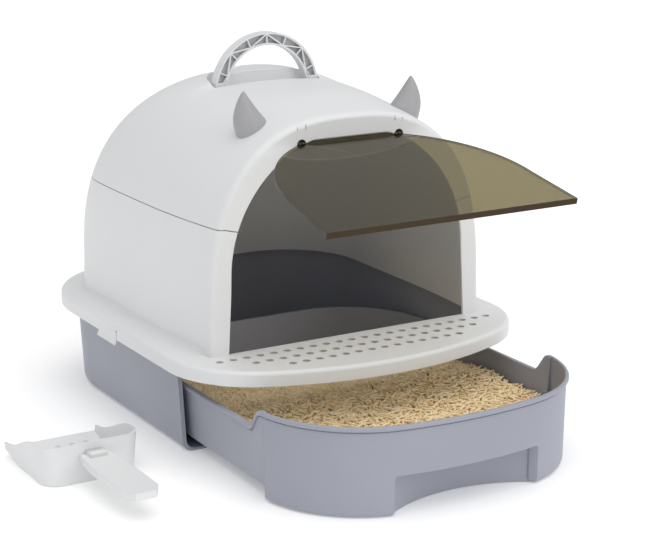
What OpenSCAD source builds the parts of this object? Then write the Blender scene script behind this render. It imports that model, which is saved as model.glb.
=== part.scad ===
// Hooded litter box with a pull-out drawer, in millimetres.
// X runs across the box, Y from front to back, Z up. The origin is on the floor,
// under the middle of the base's footprint. The drawer stands pulled out, the
// door flap is lifted and the carry handle is upright.

/* [Overall] */
// Width across the flange of the hood
flange_w = 414; // [360:1:500]
// Depth of the base at the floor
base_d = 338; // [290:1:410]
// How far the platform reaches in front of the base
porch_reach = 146; // [120:1:175]
// Height of the platform's walking face
deck_z = 114.8; // [100:0.1:140]
// Height of the roof's highest line
crown_z = 377; // [340:1:440]

/* [Outline of the hood flange] */
// Radius of the rear corners
rear_r = 129; // [90:1:140]
// Radius of the front corners
front_r = 106; // [80:1:125]
// Radius of the bowed front edge
bow_r = 360; // [300:1:450]
// Depth of the skirt round the flange
skirt_h = 16.3; // [12:0.1:24]

/* [Hood] */
// Wall of every moulded shell
wall = 3; // [2.4:0.1:3.6]
// Ledge between the hood's side and the flange's edge
ledge = 28.5; // [24:0.5:34]
// How much narrower the hood is at its front, on each side
front_taper = 10; // [4:1:16]
// Depth of the perforated porch in front of the doorway
porch_d = 100; // [90:1:120]
// Height where the walls turn into the roof
spring_z = 154; // [140:1:170]
// Height of the roof's line over the doorway
brow_z = 357; // [345:1:372]
// Height of the joint between the two hood mouldings
seam_z = 250; // [220:1:270]
// Width of the open joint between the two hood mouldings
seam_gap = 0.4; // [0.2:0.1:0.8]
// Dip of that joint at the doorway's sides
seam_dip = 5; // [0:0.5:8]

/* [Doorway and door flap] */
// Radius of the doorway's arch
door_r = 144; // [120:1:150]
// Height of the arch's centre
door_cz = 197; // [185:1:205]
// How much wider the doorway is at the platform than at the arch, on each side
door_flare = 4.5; // [0:0.5:8]
// Distance of the flap's hinge line below the top of the arch
hinge_drop = 11.2; // [9:0.1:16]
// Distance of the hinge line behind the hood's front face
hinge_back = 4.5; // [4:0.1:6]
// Thickness of the flap's sheet
flap_t = 2.4; // [2:0.1:3]
// Depth of the rim that stiffens the flap
flap_rim = 5; // [3:0.5:7]
// Angle by which the flap is lifted from closed
flap_open = 78; // [0:1:78]
// Radius of the hinge pegs
peg_r = 3.5; // [3:0.1:4]

/* [Drain holes] */
// Radius of each drain hole
drain_r = 4; // [3:0.1:4.5]
// Distance between holes across the porch
drain_pitch = 16; // [15:0.5:20]
// Distance between rows of holes
drain_row = 20.4; // [18:0.1:24]

/* [Carry handle] */
// Outer radius of the handle's hoop
hoop_r = 66.5; // [60:0.5:72]
// Height of the hoop's section between its two rims
hoop_h = 14.5; // [12:0.5:16]
// Depth of the hoop from front to back
hoop_d = 12; // [10:0.5:14]
// Height of the handle's pivot line
pivot_z = 362; // [356:0.5:366]
// Distance of the handle's pivot line in front of the roof's highest line
pivot_front = 17.5; // [10:0.5:40]
// Gap inside the hoop, so that it clears the roof's boss as it folds
boss_clear = 5; // [4.8:0.1:8]
// Radius of the handle's pins
pin_r = 2.5; // [2:0.1:3]

/* [Drawer] */
// How far the drawer is pulled out
drawer_out = 153; // [0:1:250]
// Height of the tray's side rims
tray_z = 74.4; // [64:0.1:82]
// Height of the drawer's front rim
fascia_z = 96; // [88:0.5:97]
// Height of the tray's underside
tray_foot = 12; // [9:0.5:15]
// Radius of the drawer's front corners
fascia_r = 120; // [90:1:130]
// Radius of the bow across the drawer's front
fascia_bow = 460; // [380:5:600]
// Half the width of the finger recess
recess_w = 86; // [60:1:95]
// Height of the finger recess
recess_z = 42.8; // [34:0.1:50]
// Level of the litter
litter_z = 52; // [30:1:62]

/* [Scoop] */
// Length of the scoop's bowl
bowl_l = 112; // [95:1:125]
// Width of the scoop's bowl
bowl_w = 104; // [90:1:115]
// Height of the bowl at its back
bowl_h = 44; // [36:1:50]
// Length of the scoop's grip
grip_l = 126; // [100:1:140]

/* [Fits] */
// Gap between pieces that rest side by side
gap = 0.3; // [0.2:0.05:0.5]
// Radial clearance of a pin in its bore
run_fit = 0.05; // [0.02:0.01:0.1]

/* [Hidden] */
$fn = 64;
eps = 0.01;

hood_white = [0.90, 0.90, 0.89];
tray_blue = [0.60, 0.63, 0.69];
trim_grey = [0.62, 0.62, 0.64];
handle_grey = [0.76, 0.77, 0.78];
smoke = [0.42, 0.38, 0.30, 0.6];

// How far the base lies inside the flange's edge: foot, low wall and rim
base_behind = 31;
base_wall_in = 24;
base_rim_in = 18.5;
base_round = 12;
base_rim_z = deck_z - wall - gap;
base_lip_in = 7;
base_lip_h = 4;
half_w = flange_w / 2;
flange_rear = base_d / 2 + base_behind;
flange_front = -base_d / 2 - porch_reach;
mouth_y = -base_d / 2;
skirt_z = deck_z - skirt_h;

// Hood
face_y = flange_front + porch_d;
crown_y = face_y + 206;
hood_hw = half_w - ledge;
hood_rear_r = rear_r - ledge - 0.5;
hood_rear_cy = flange_rear - rear_r;
hood_rear = hood_rear_cy + hood_rear_r;
roof_fall = 152;
taper_y = face_y + 151;
side_exp = 2.6;
roof_exp = 2.5;
front_round = 8;

// Saddle between the brow and the handle
saddle_y = crown_y - pivot_front - 9;
saddle_l = 115;
saddle_w = 75;
saddle_h = 9.3;

// Doorway
hinge_y = face_y + hinge_back;
hinge_z = door_cz + door_r - hinge_drop;
flap_gap = 1.2;
flap_foot = deck_z + 7.2;
flap_head = hinge_z + 2.7;
peg_x = 64;

// Handle
pivot_y = crown_y - pivot_front;
hoop_in = hoop_r - hoop_h;
hoop_cz = pivot_z - 6.5;
foot_x = sqrt(pow(hoop_r - hoop_h / 2, 2) - 6.5 * 6.5);
foot_w = 13.4;
well_y = pivot_y - 6.5;
well_out = hoop_r + 2;
well_in = hoop_in - boss_clear;
well_floor = pivot_z - hoop_d / 2 - 1;
boss_y = pivot_y + hoop_d / 2 + 1;
rim_t = 2.4;
rib_t = 1.5;

// Drawer, in the closed place: its tray, and the front that stands proud of it
tray_hw = half_w - 36;
tray_lean = 0.075;
tray_rear = flange_rear - 36;
tray_rear_r = 108;
fascia_hw = half_w - 28.5;
fascia_lean = 0.015;
fascia_front = flange_front + 17.5;
shoulder_y = mouth_y + 7;
shoulder_l = 20;
runner_x = 130;
runner_w = 8;

// A power that keeps the sign of its base
function spow(v, e) = sign(v) * pow(abs(v), e);

// Points of an arc, with both ends
function arc(c, r, a0, a1, n) =
    [for (i = [0:n]) let (a = a0 + (a1 - a0) * i / n) c + r * [cos(a), sin(a)]];

// Outline seen from above: straight sides, round corners and a bowed front
function outline(hw, rear, rr, front, fr, br) =
    let (bow_cy = front + br,
         fx = hw - fr,
         fy = bow_cy - sqrt(pow(br - fr, 2) - fx * fx),
         turn = atan2(fx, bow_cy - fy),
         bow = arc([0, bow_cy], br, 270 - turn, 270 + turn, 12))
    concat(arc([hw - rr, rear - rr], rr, 0, 90, 10),
           arc([rr - hw, rear - rr], rr, 90, 180, 10),
           arc([-fx, fy], fr, 180, 270 - turn, 7),
           [for (i = [1:len(bow) - 2]) bow[i]],
           arc([fx, fy], fr, 270 + turn, 360, 7));

// The flange's outline, moved inwards by d: the base and the hood share it
function plan(d) = outline(half_w - d, flange_rear - d, rear_r - d,
                           flange_front + d, front_r - d, bow_r - d);

// The closed tray's outline at height z, moved inwards by d
function tray_plan(z, d) =
    let (lean = tray_lean * z)
    outline(tray_hw + lean - d, tray_rear + lean / 2 - d, tray_rear_r - d,
            fascia_front + 3 - lean / 2 + d, fascia_r - d, fascia_bow - d);

// The closed drawer front's outline at height z, moved inwards by d
function fascia_plan(z, d) =
    let (lean = fascia_lean * z)
    outline(fascia_hw + lean - d, tray_rear - d, tray_rear_r - d,
            fascia_front - lean + d, fascia_r + lean - d, fascia_bow - d);

// Places a flat outline at a height
function ring(pts, z) = [for (p = pts) [p.x, p.y, z]];

// Solid through a list of rings with equal counts, the first one lowest
module loft(rings) {
    n = len(rings[0]);
    m = len(rings);
    sides = [for (k = [0:m - 2]) for (i = [0:n - 1])
             let (j = (i + 1) % n, a = k * n, b = a + n)
             each [[a + i, b + i, b + j], [a + i, b + j, a + j]]];
    polyhedron(points = [for (r = rings) each r],
               faces = concat([[for (i = [0:n - 1]) i]],
                              [[for (i = [n - 1:-1:0]) (m - 1) * n + i]],
                              sides),
               convexity = 6);
}

module slab(pts, z0, z1) {
    translate([0, 0, z0]) linear_extrude(z1 - z0) polygon(pts);
}

// Box between two corners
module block(lo, hi) {
    translate(lo) cube(hi - lo);
}

// Everything below, above, or on one side of a plane, for cutting
module below(z) { block([-600, -600, -100], [600, 600, z]); }
module above(z) { block([-600, -600, z], [600, 600, 600]); }
module behind(y) { block([-600, y, -100], [600, 600, 600]); }
module ahead(y) { block([-600, -600, -100], [600, y, 600]); }

// A cylinder along X between two places
module bar_x(x0, x1, y, z, r) {
    translate([min(x0, x1), y, z]) rotate([0, 90, 0]) cylinder(r = r, h = abs(x1 - x0));
}

// A cylinder along Y between two places
module bar_y(x, y0, y1, z, r) {
    translate([x, y1, z]) rotate([90, 0, 0]) cylinder(r = r, h = y1 - y0);
}

// ---- Base --------------------------------------------------------------

// The base's form as a solid with a rounded foot, moved inwards by d, from z0 up
module base_form(d, z0) {
    r = base_round - d / 2;
    loft(concat([for (a = [0, 24, 50, 90])
                 ring(plan(base_wall_in + d + r * (1 - sin(a))), z0 + r * (1 - cos(a)))],
                [ring(plan(base_rim_in + d), base_rim_z + (d > 0 ? 1 : 0))]));
}

module base_shell() {
    guide_h = 5;
    color(tray_blue) {
        difference() {
            union() {
                intersection() {
                    base_form(0, 0);
                    behind(mouth_y);
                }
                // Lip on which the hood stands, and under which the latches hook
                intersection() {
                    slab(plan(base_lip_in), base_rim_z - base_lip_h, base_rim_z);
                    behind(mouth_y);
                }
                // Band round the mouth
                intersection() {
                    base_form(-1.6, 0);
                    block([-300, mouth_y - 5, 0],
                          [300, mouth_y + 6, base_rim_z - base_lip_h]);
                }
            }
            base_form(wall, wall);
        }
        // Guides that keep the drawer's runners straight
        for (s = [-1, 1], side = [-1, 1])
            translate([s * runner_x + side * (runner_w / 2 + 2.5) - 1.5, mouth_y + 12, wall - 0.1])
                cube([3, base_d - 110, guide_h]);
    }
}

// ---- Drawer ------------------------------------------------------------

// The tray's form as a solid, closed, moved inwards by d, with a rounded foot
module tray_form(d, z0, z1) {
    loft([ring(tray_plan(z0, d + 4), z0),
          ring(tray_plan(z0 + 1.2, d + 1.2), z0 + 1.2),
          ring(tray_plan(z0 + 4, d), z0 + 4),
          ring(tray_plan(z1, d), z1)]);
}

// The front's form as a solid, closed, moved inwards by d, with a rounded foot
module fascia_form(d, z0, z1) {
    loft([ring(fascia_plan(z0, d + 6), z0),
          ring(fascia_plan(z0 + 0.8, d + 3.4), z0 + 0.8),
          ring(fascia_plan(z0 + 2.6, d + 1.1), z0 + 2.6),
          ring(fascia_plan(z0 + 6, d), z0 + 6),
          ring(fascia_plan(z1, d), z1)]);
}

// The round back wall of the finger recess, grown by d, as a standing cylinder
module recess_form(d) {
    back_y = fascia_front + 41;
    recess_rad = 165;
    translate([0, back_y - recess_rad, -1])
        cylinder(r = recess_rad + d, h = recess_z + 1 + d, $fn = 128);
}

module drawer_tray() {
    rim_out = 2.2;
    rim_h = 3.6;
    fascia_y = shoulder_y - shoulder_l - 6;
    color(tray_blue) translate([0, -drawer_out, 0]) {
        difference() {
            union() {
                intersection() {
                    tray_form(0, tray_foot, fascia_z);
                    behind(fascia_y - 20);
                }
                intersection() {
                    fascia_form(0, 0.8, fascia_z);
                    ahead(fascia_y);
                }
                // Rolled rims of the tray and of its front
                intersection() {
                    slab(tray_plan(tray_z, -rim_out), tray_z - rim_h, tray_z);
                    behind(fascia_y);
                }
                intersection() {
                    slab(fascia_plan(fascia_z, -rim_out + 1), fascia_z - rim_h, fascia_z);
                    ahead(shoulder_y);
                }
            }
            // Inside of the tray and of its front, with the recess's wall left standing
            difference() {
                union() {
                    intersection() {
                        tray_form(wall, tray_foot + wall, fascia_z + 1);
                        behind(fascia_y - 40);
                    }
                    intersection() {
                        fascia_form(wall, tray_foot + wall - 8, fascia_z + 1);
                        block([-300, -600, tray_foot + wall], [300, fascia_y - wall, 200]);
                    }
                }
                recess_form(wall);
            }
            // Hollow of the front, under the tray's floor
            difference() {
                intersection() {
                    fascia_form(wall, -8, tray_foot);
                    ahead(fascia_y - wall);
                    below(tray_foot);
                }
                recess_form(wall);
            }
            // The finger recess
            intersection() {
                recess_form(0);
                block([-recess_w, fascia_front - 60, -1], [recess_w, 0, recess_z]);
            }
            // Low side rims, with a slope up to the front
            rotate([90, 0, 90]) translate([0, 0, -300]) linear_extrude(600)
                polygon([[shoulder_y, tray_z], [shoulder_y - shoulder_l, fascia_z],
                         [shoulder_y - shoulder_l, fascia_z + 9], [300, fascia_z + 9],
                         [300, tray_z]]);
        }
        // Runners that carry the tray on the base's floor
        for (s = [-1, 1])
            translate([s * runner_x - runner_w / 2, shoulder_y + 12, wall + gap])
                cube([runner_w, base_d - 90, tray_foot - wall - gap + 0.1]);
    }
}

// Litter heaped towards the front and falling to the rear
module litter_bed() {
    bed_z = tray_foot + wall + gap;
    rear_z = litter_z - 17;
    color([0.80, 0.68, 0.47]) translate([0, -drawer_out, 0]) difference() {
        loft([ring(tray_plan(bed_z, wall + gap + 4.4), bed_z),
              ring(tray_plan(bed_z + 4, wall + gap + 0.4), bed_z + 4),
              ring(tray_plan(litter_z, wall + gap), litter_z)]);
        recess_form(wall + gap);
        rotate([90, 0, 90]) translate([0, 0, -300]) linear_extrude(600)
            polygon([[-60, litter_z], [300, rear_z - (300 - tray_rear) * 0.08],
                     [300, litter_z + 9], [-60, litter_z + 9]]);
    }
}

// ---- Hood --------------------------------------------------------------

// Half the width of the hood at a place along Y, moved inwards by d
function hood_w(y, d) =
    y > hood_rear_cy
        ? hood_hw - hood_rear_r + sqrt(max(0, pow(hood_rear_r - d, 2) - pow(y - hood_rear_cy, 2)))
        : y < taper_y
            ? hood_hw - d - front_taper * pow((taper_y - y) / (taper_y - face_y), 2)
            : hood_hw - d;

// Height of the roof's highest line at a place along Y, moved inwards by d
function hood_top(y, d) =
    y > crown_y
        ? crown_z - roof_fall
          + (roof_fall - d) * sqrt(max(0, 1 - pow((y - crown_y) / (hood_rear - d - crown_y), 2)))
        : brow_z - d + (crown_z - brow_z) * sin(90 * (y - face_y) / (crown_y - face_y));

// Depth of the shallow saddle in front of the handle
function saddle(x, y) =
    saddle_h * exp(-pow(x / saddle_w, 4))
        * (y < saddle_y - saddle_l || y > saddle_y + 14 ? 0
           : y < saddle_y ? pow(sin(90 * (y - saddle_y + saddle_l) / saddle_l), 2)
           : 1 - (y - saddle_y) / 14);

// Height of the hood's surface at a place seen from above
function hood_z(x, y) =
    spring_z + (hood_top(y, 0) - spring_z)
        * pow(1 - pow(abs(x) / hood_w(y, 0), side_exp), 1 / roof_exp) - saddle(x, y);

// Section of the hood across Y, from its left foot over the roof to its right foot
function hood_ring(y, d, shrink, foot) =
    let (w = hood_w(y, d) - shrink,
         h = hood_top(y, d) - shrink - spring_z,
         n = 28)
    concat([[-w - 2, y, foot]],
           [for (i = [0:n]) let (a = 180 - 180 * i / n, x = w * spow(cos(a), 2 / side_exp))
            [x, y, spring_z + h * spow(sin(a), 2 / roof_exp)
                   - (i > 3 && i < n - 3 ? saddle(x, y) : 0)]],
           [[w + 2, y, foot]]);

// The hood's form as a solid, moved inwards by d
module hood_form(d, foot) {
    front = face_y + d;
    rear_r_in = hood_rear_r - d;
    fore = saddle_y - front - front_round;
    mid = concat([for (k = [0:6]) front + front_round + fore * k / 6],
                 [saddle_y + 14, crown_y]);
    loft(concat([hood_ring(front, d, 5, foot)],
                [hood_ring(front + 2.5, d, 1.6, foot)],
                [for (y = mid) hood_ring(y, d, 0, foot)],
                [hood_ring((crown_y + hood_rear_cy) / 2, d, 0, foot)],
                [for (t = [0, 20, 38, 54, 68, 80, 90])
                 hood_ring(hood_rear_cy + rear_r_in * sin(t) - (t == 90 ? eps : 0), d, 0, foot)]));
}

// Front view of the doorway, moved inwards by d, from z0 up
module doorway_shape(d, z0) {
    foot_w = door_r + door_flare - d;
    polygon(concat([[foot_w, z0]],
                   arc([0, door_cz], door_r - d, 0, 180, 48),
                   [[-foot_w, z0]]));
}

module doorway_cut() {
    translate([0, face_y + 3 * wall, 0]) rotate([90, 0, 0])
        linear_extrude(6 * wall) doorway_shape(0, deck_z);
}

// Places of the drain holes: three rows, each four holes shorter than the last
function drain_places() =
    [for (row = [0:2]) let (count = 22 - 4 * row) for (i = [0:count - 1])
     [(i - (count - 1) / 2) * drain_pitch, face_y - 16.3 - row * drain_row]];

// All that lies under the joint of the two hood mouldings, which dips by seam_dip
// towards the doorway, moved up by lift
module under_seam(lift) {
    z = seam_z + lift;
    edge = hood_hw - front_taper - 16.5;
    dip = edge - 20;
    below_front = [[400, -50], [400, z], [edge, z], [dip, z - seam_dip],
                   [-dip, z - seam_dip], [-edge, z], [-400, z], [-400, -50]];
    translate([0, face_y + 4 * wall, 0]) rotate([90, 0, 0])
        linear_extrude(100) polygon(below_front);
    intersection() {
        below(z);
        behind(face_y + 4 * wall);
    }
}

latch_y0 = -58;
latch_y1 = -10;
latch_x = half_w - 1.5;
latch_z = deck_z - wall - 3;

module hood_lower() {
    color(hood_white) difference() {
        union() {
            loft([ring(plan(0), skirt_z), ring(plan(0), deck_z - 2.6),
                  ring(plan(0.9), deck_z - 0.9), ring(plan(3), deck_z)]);
            intersection() {
                hood_form(0, deck_z - wall);
                under_seam(-seam_gap / 2);
            }
        }
        slab(plan(wall), skirt_z - 1, deck_z - wall);
        hood_form(wall, deck_z - wall - 1);
        doorway_cut();
        for (p = drain_places()) translate([p.x, p.y, deck_z - wall - 1])
            cylinder(r = drain_r, h = wall + 2, $fn = 24);
        // Notches in the skirt for the latches, and their pins' holes
        for (s = [-1, 1]) {
            block([min(s * (half_w - 9), s * (half_w + 2)), latch_y0 - gap, skirt_z - 1],
                  [max(s * (half_w - 9), s * (half_w + 2)), latch_y1 + gap, deck_z - wall]);
            bar_y(s * latch_x, latch_y0 - 6, latch_y1 + 6, latch_z, 0.9 + run_fit);
        }
    }
}

// The well in the roof that takes the folded handle: a ring with a slot in front
module handle_well() {
    difference() {
        translate([0, well_y, well_floor]) cylinder(r = well_out, h = 60, $fn = 96);
        translate([0, well_y, well_floor - 1]) cylinder(r = well_in, h = 62, $fn = 96);
        ahead(boss_y - 15);
    }
}

// The low step across the roof between the handle's feet
module handle_step() {
    block([-well_in - 4, boss_y - 15, pivot_z + 1.5], [well_in + 4, boss_y, crown_z + 20]);
}

module hood_upper() {
    peg_bore_x = peg_x + 6;
    color(hood_white) difference() {
        union() {
            difference() {
                intersection() {
                    hood_form(0, deck_z);
                    above(seam_z - seam_dip + seam_gap / 2);
                }
                hood_form(wall, deck_z);
                under_seam(seam_gap / 2);
            }
            // Moulded well for the handle
            intersection() {
                translate([0, well_y, well_floor - wall])
                    cylinder(r = well_out + wall, h = 60, $fn = 96);
                hood_form(0, deck_z);
                behind(boss_y - 15 - wall);
            }
            // Raised round boss inside the folded handle
            intersection() {
                translate([0, well_y, well_floor - wall])
                    cylinder(r = well_in, h = 60, $fn = 96);
                translate([0, crown_y + 8, crown_z + 2.8 - 320]) sphere(r = 320, $fn = 128);
                rotate([90, 0, 90]) translate([0, 0, -100]) linear_extrude(200)
                    polygon(concat([[100, crown_z + 20], [100, 300], [boss_y, 300]],
                                   arc([boss_y + 8, crown_z - 6.5], 8, 180, 98, 6)));
            }
            // Sockets behind the front for the flap's pegs
            for (s = [-1, 1])
                block([min(s * (peg_bore_x - 1), s * (peg_bore_x + 8)), face_y + 1, hinge_z - 7],
                      [max(s * (peg_bore_x - 1), s * (peg_bore_x + 8)),
                       hinge_y + peg_r + 3, hinge_z + 7]);
        }
        handle_well();
        handle_step();
        // Hollow under the round boss
        intersection() {
            translate([0, well_y, well_floor - wall - 1])
                cylinder(r = well_in - wall, h = crown_z - well_floor - 3, $fn = 96);
            behind(boss_y + wall);
        }
        doorway_cut();
        for (s = [-1, 1]) {
            // Open notch in the frame round each peg, and the peg's bore
            block([min(s * (peg_x - 18), s * peg_bore_x), face_y - 1, hinge_z - 8],
                  [max(s * (peg_x - 18), s * peg_bore_x), hinge_y + peg_r + 4, hinge_z + 6]);
            bar_x(s * (peg_bore_x - 1), s * (peg_bore_x + 6), hinge_y, hinge_z, peg_r + run_fit);
            // Slits of the snap tongue over each peg
            translate([s * (peg_x - 4.2), face_y + 1.4, hinge_z + 14.8]) rotate([90, 0, 0])
                linear_extrude(3) difference() {
                    square([11, 8.4]);
                    translate([1.2, -1]) square([8.6, 8.2]);
                }
            // Bores for the handle's pins, and the pockets they are put in through
            bar_x(s * (well_in - wall - 1), s * (well_out + 12), pivot_y, pivot_z, pin_r);
            translate([s * (well_out + 9), pivot_y, pivot_z - 3])
                cylinder(r = 3.2, h = 40, $fn = 32);
            // Holes for the ears' stems
            for (x = ear_stems) translate([s * x, ear_y, 250])
                cylinder(r = ear_stem_r + gap, h = 200, $fn = 32);
        }
    }
}

// ---- Ears --------------------------------------------------------------

ear_x = 95;
ear_y = face_y + 45;
ear_stems = [88, 103];
ear_stem_r = 2.5;
// Sections from the foot to the tip: inner and outer edge from the middle of the
// foot, as across and up, then half the depth
ear_sections = [[-19, -8, 14, -20, 14], [-17.5, 6, 16, -10, 15], [-12.5, 11, 20.5, 2, 14.5],
                [-7, 17, 20.5, 13, 12], [-1, 25, 17.5, 23.5, 9], [4.5, 32.5, 13.8, 32, 5],
                [8.3, 38.6, 9.8, 38.5, 1]];

// Section of an ear as a leaning oval
function ear_ring(s) =
    let (mid = [(s[0] + s[2]) / 2, (s[1] + s[3]) / 2],
         half = [(s[2] - s[0]) / 2, (s[3] - s[1]) / 2])
    [for (i = [0:19]) let (a = 18 * i)
     [mid.x + half.x * cos(a), s[4] * sin(a), mid.y + half.y * cos(a)]];

module ear() {
    foot = hood_z(ear_x, ear_y);
    color(trim_grey) union() {
        difference() {
            translate([ear_x, ear_y, foot]) loft([for (s = ear_sections) ear_ring(s)]);
            hood_form(-gap, deck_z);
        }
        for (x = ear_stems) translate([x, ear_y, hood_z(x, ear_y) - 9])
            cylinder(r = ear_stem_r, h = 14, $fn = 32);
    }
}

module ear_left() { mirror([1, 0, 0]) ear(); }
module ear_right() { ear(); }

// ---- Carry handle ------------------------------------------------------

// Where two lines cross, each given by a place and a direction
function cross_at(p, u, q, v) =
    p + u * ((q.x - p.x) * v.y - (q.y - p.y) * v.x) / (u.x * v.y - u.y * v.x);

// Where a line meets a circle round the origin, forwards or backwards
function meet_at(p, u, r, way) = p + u * (-(p * u) + way * sqrt(pow(p * u, 2) - p * p + r * r));

// Round plate of the hoop about its own centre
module hoop_plate(r, depth) {
    translate([0, pivot_y, hoop_cz]) rotate([90, 0, 0])
        cylinder(r = r, h = depth, center = true, $fn = 96);
}

// Outline of one triangular pocket of the truss. The slanted rib runs from the outer
// rim at angle a to the inner rim at angle b, and the pocket lies outside or inside it.
module truss_pocket(a, b, outside) {
    half = rib_t / 2;
    way = b > a ? 1 : -1;
    rim_r = outside ? hoop_r - rim_t : hoop_in + rim_t;
    from = (hoop_r - rim_t + 0.5) * [cos(a), sin(a)];
    to = (hoop_in + rim_t - 0.2) * [cos(b), sin(b)];
    u = (to - from) / norm(to - from);
    out = way * [u.y, -u.x];
    side = (from + to) / 2 + (outside ? half : -half) * out;
    post = outside ? b : a;
    face = (outside ? -way : way) * half * [-sin(post), cos(post)];
    up = [cos(post), sin(post)];
    p1 = meet_at(side, u, rim_r, -1);
    p2 = meet_at(face, up, rim_r, 1);
    polygon(concat([cross_at(side, u, face, up)],
                   arc([0, 0], rim_r, atan2(p1.y, p1.x), atan2(p2.y, p2.x), 5)));
}

module carry_handle() {
    web_t = 2.2;
    bays = 8;
    bay = 180 / bays;
    color(handle_grey) difference() {
        union() {
            difference() {
                hoop_plate(hoop_r, hoop_d);
                hoop_plate(hoop_in, hoop_d + 2);
                for (s = [0, 1], k = [0:bays - 1], outside = [true, false])
                    translate([0, pivot_y + (s == 0 ? -web_t / 2 : hoop_d / 2 + 1), hoop_cz])
                        rotate([90, 0, 0]) linear_extrude(hoop_d / 2 + 1 - web_t / 2)
                            truss_pocket(bay * (k + k % 2), bay * (k + 1 - k % 2), outside);
                below(pivot_z);
            }
            // Feet with the pivot eyes
            for (s = [-1, 1])
                translate([s * foot_x - foot_w / 2, pivot_y, pivot_z]) rotate([90, 0, 90])
                    linear_extrude(foot_w)
                        polygon(concat(arc([0, 0], hoop_d / 2, 180, 360, 16),
                                       [[hoop_d / 2, 7], [-hoop_d / 2, 7]]));
        }
        for (s = [-1, 1])
            bar_x(s * (foot_x - foot_w), s * (foot_x + foot_w), pivot_y, pivot_z,
                  pin_r + run_fit);
    }
}

module handle_pin(s) {
    color([0.55, 0.56, 0.58])
        bar_x(s * (well_in - 2), s * (well_out + 4), pivot_y, pivot_z, pin_r);
}
module handle_pin_left() { handle_pin(-1); }
module handle_pin_right() { handle_pin(1); }

// ---- Door flap ---------------------------------------------------------

// Turns the closed flap about its hinge line to where it is held
module lifted() {
    translate([0, hinge_y, hinge_z]) rotate([-flap_open, 0, 0])
        translate([0, -hinge_y, -hinge_z]) children();
}

// A flat layer of the flap, closed, between two depths behind the hinge line
module flap_layer(y0, y1, d) {
    translate([0, hinge_y + y1, 0]) rotate([90, 0, 0]) linear_extrude(y1 - y0)
        intersection() {
            doorway_shape(flap_gap + d, flap_foot + d);
            translate([-200, 0]) square([400, flap_head]);
        }
}

module door_flap() {
    rim_w = 2.4;
    color(smoke) lifted() difference() {
        union() {
            flap_layer(-flap_t / 2, flap_t / 2, 0);
            // Rim along the sides and the free edge
            difference() {
                flap_layer(flap_t / 2 - eps, flap_rim, 0);
                flap_layer(0, flap_rim + 1, rim_w);
                above(hinge_z - 12);
            }
            // Knuckles that hold the pegs
            for (s = [-1, 1]) {
                bar_x(s * (peg_x - 14), s * (peg_x - 5), hinge_y, hinge_z, peg_r + 1);
                block([min(s * (peg_x - 14), s * (peg_x - 5)), hinge_y - flap_t / 2, hinge_z - 9],
                      [max(s * (peg_x - 14), s * (peg_x - 5)), hinge_y + flap_t / 2, hinge_z]);
            }
        }
        for (s = [-1, 1])
            bar_x(s * (peg_x - 13), s * (peg_x - 4), hinge_y, hinge_z, peg_r - 1 + run_fit);
    }
}

// Dark peg with a thin stem in the flap and a thick end in the hood's socket
module door_peg(s) {
    color([0.12, 0.11, 0.10]) union() {
        bar_x(s * (peg_x - 13 + gap), s * (peg_x - 2), hinge_y, hinge_z, peg_r - 1);
        bar_x(s * (peg_x - 3), s * (peg_x + 11), hinge_y, hinge_z, peg_r);
    }
}
module door_peg_left() { door_peg(-1); }
module door_peg_right() { door_peg(1); }

// ---- Latches -----------------------------------------------------------

// Side latch, on the right: barrel, cover plate and the hook under the base's lip
module latch() {
    foot_z = skirt_z - 5.5;
    hook_z = base_rim_z - base_lip_h - gap;
    color(hood_white) difference() {
        union() {
            bar_y(latch_x, latch_y0, latch_y1, latch_z, 2.2);
            translate([0, latch_y1, 0]) rotate([90, 0, 0]) linear_extrude(latch_y1 - latch_y0)
                polygon([[half_w, latch_z], [half_w, skirt_z], [half_w + 2.2, foot_z],
                         [half_w - 0.6, foot_z], [half_w - wall, skirt_z - 1],
                         [half_w - wall, hook_z - 4], [half_w - 11, hook_z - 2.4],
                         [half_w - 11, hook_z], [half_w - wall - 0.5, hook_z],
                         [half_w - wall - 0.5, latch_z]]);
        }
        bar_y(latch_x, latch_y0 - 1, latch_y1 + 1, latch_z, 0.9 + run_fit);
    }
}
module latch_left() { mirror([1, 0, 0]) latch(); }
module latch_right() { latch(); }

module latch_pin(s) {
    color([0.7, 0.7, 0.72]) bar_y(s * latch_x, latch_y0 - 5, latch_y1 + 5, latch_z, 0.9);
}
module latch_pin_left() { latch_pin(-1); }
module latch_pin_right() { latch_pin(1); }

// ---- Scoop -------------------------------------------------------------

// Outline of the bowl from above at height z, moved inwards by d, its mouth at the rear
// and lengthened there by reach
function bowl_plan(d, z, reach) =
    let (hw = bowl_w / 2 + z * 0.08 - d, r = 20 - d, back = -bowl_l / 2 - z * 0.06 + d)
    concat([[hw, bowl_l / 2 + reach], [-hw, bowl_l / 2 + reach]],
           arc([r - hw, back + r], r, 180, 270, 8),
           arc([hw - r, back + r], r, 270, 360, 8));

// The bowl seen from its side: a floor that turns up towards the mouth, moved up by t,
// and walls that fall towards the mouth in a soft curve
module bowl_side(t, top) {
    mouth = bowl_l / 2 + t;
    lift = 9;
    bend_y = -4;
    fall = mouth + bowl_l / 2 - 18;
    rotate([90, 0, 90]) linear_extrude(300, center = true)
        polygon(concat([[-bowl_l / 2 - 20, t], [bend_y, t]],
                       [for (i = [1:4]) [bend_y + (mouth - bend_y) * i / 4,
                                         t + lift * pow(i / 4, 1.6)]],
                       top ? [for (i = [0:8]) [mouth - fall * i / 8,
                                               lift + 8 + (bowl_h - lift - 8)
                                                   * (0.5 - 0.5 * cos(180 * i / 8))]]
                           : [[mouth, 2 * bowl_h]],
                       [[-bowl_l / 2 - 20, top ? bowl_h : 2 * bowl_h]]));
}

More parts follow.
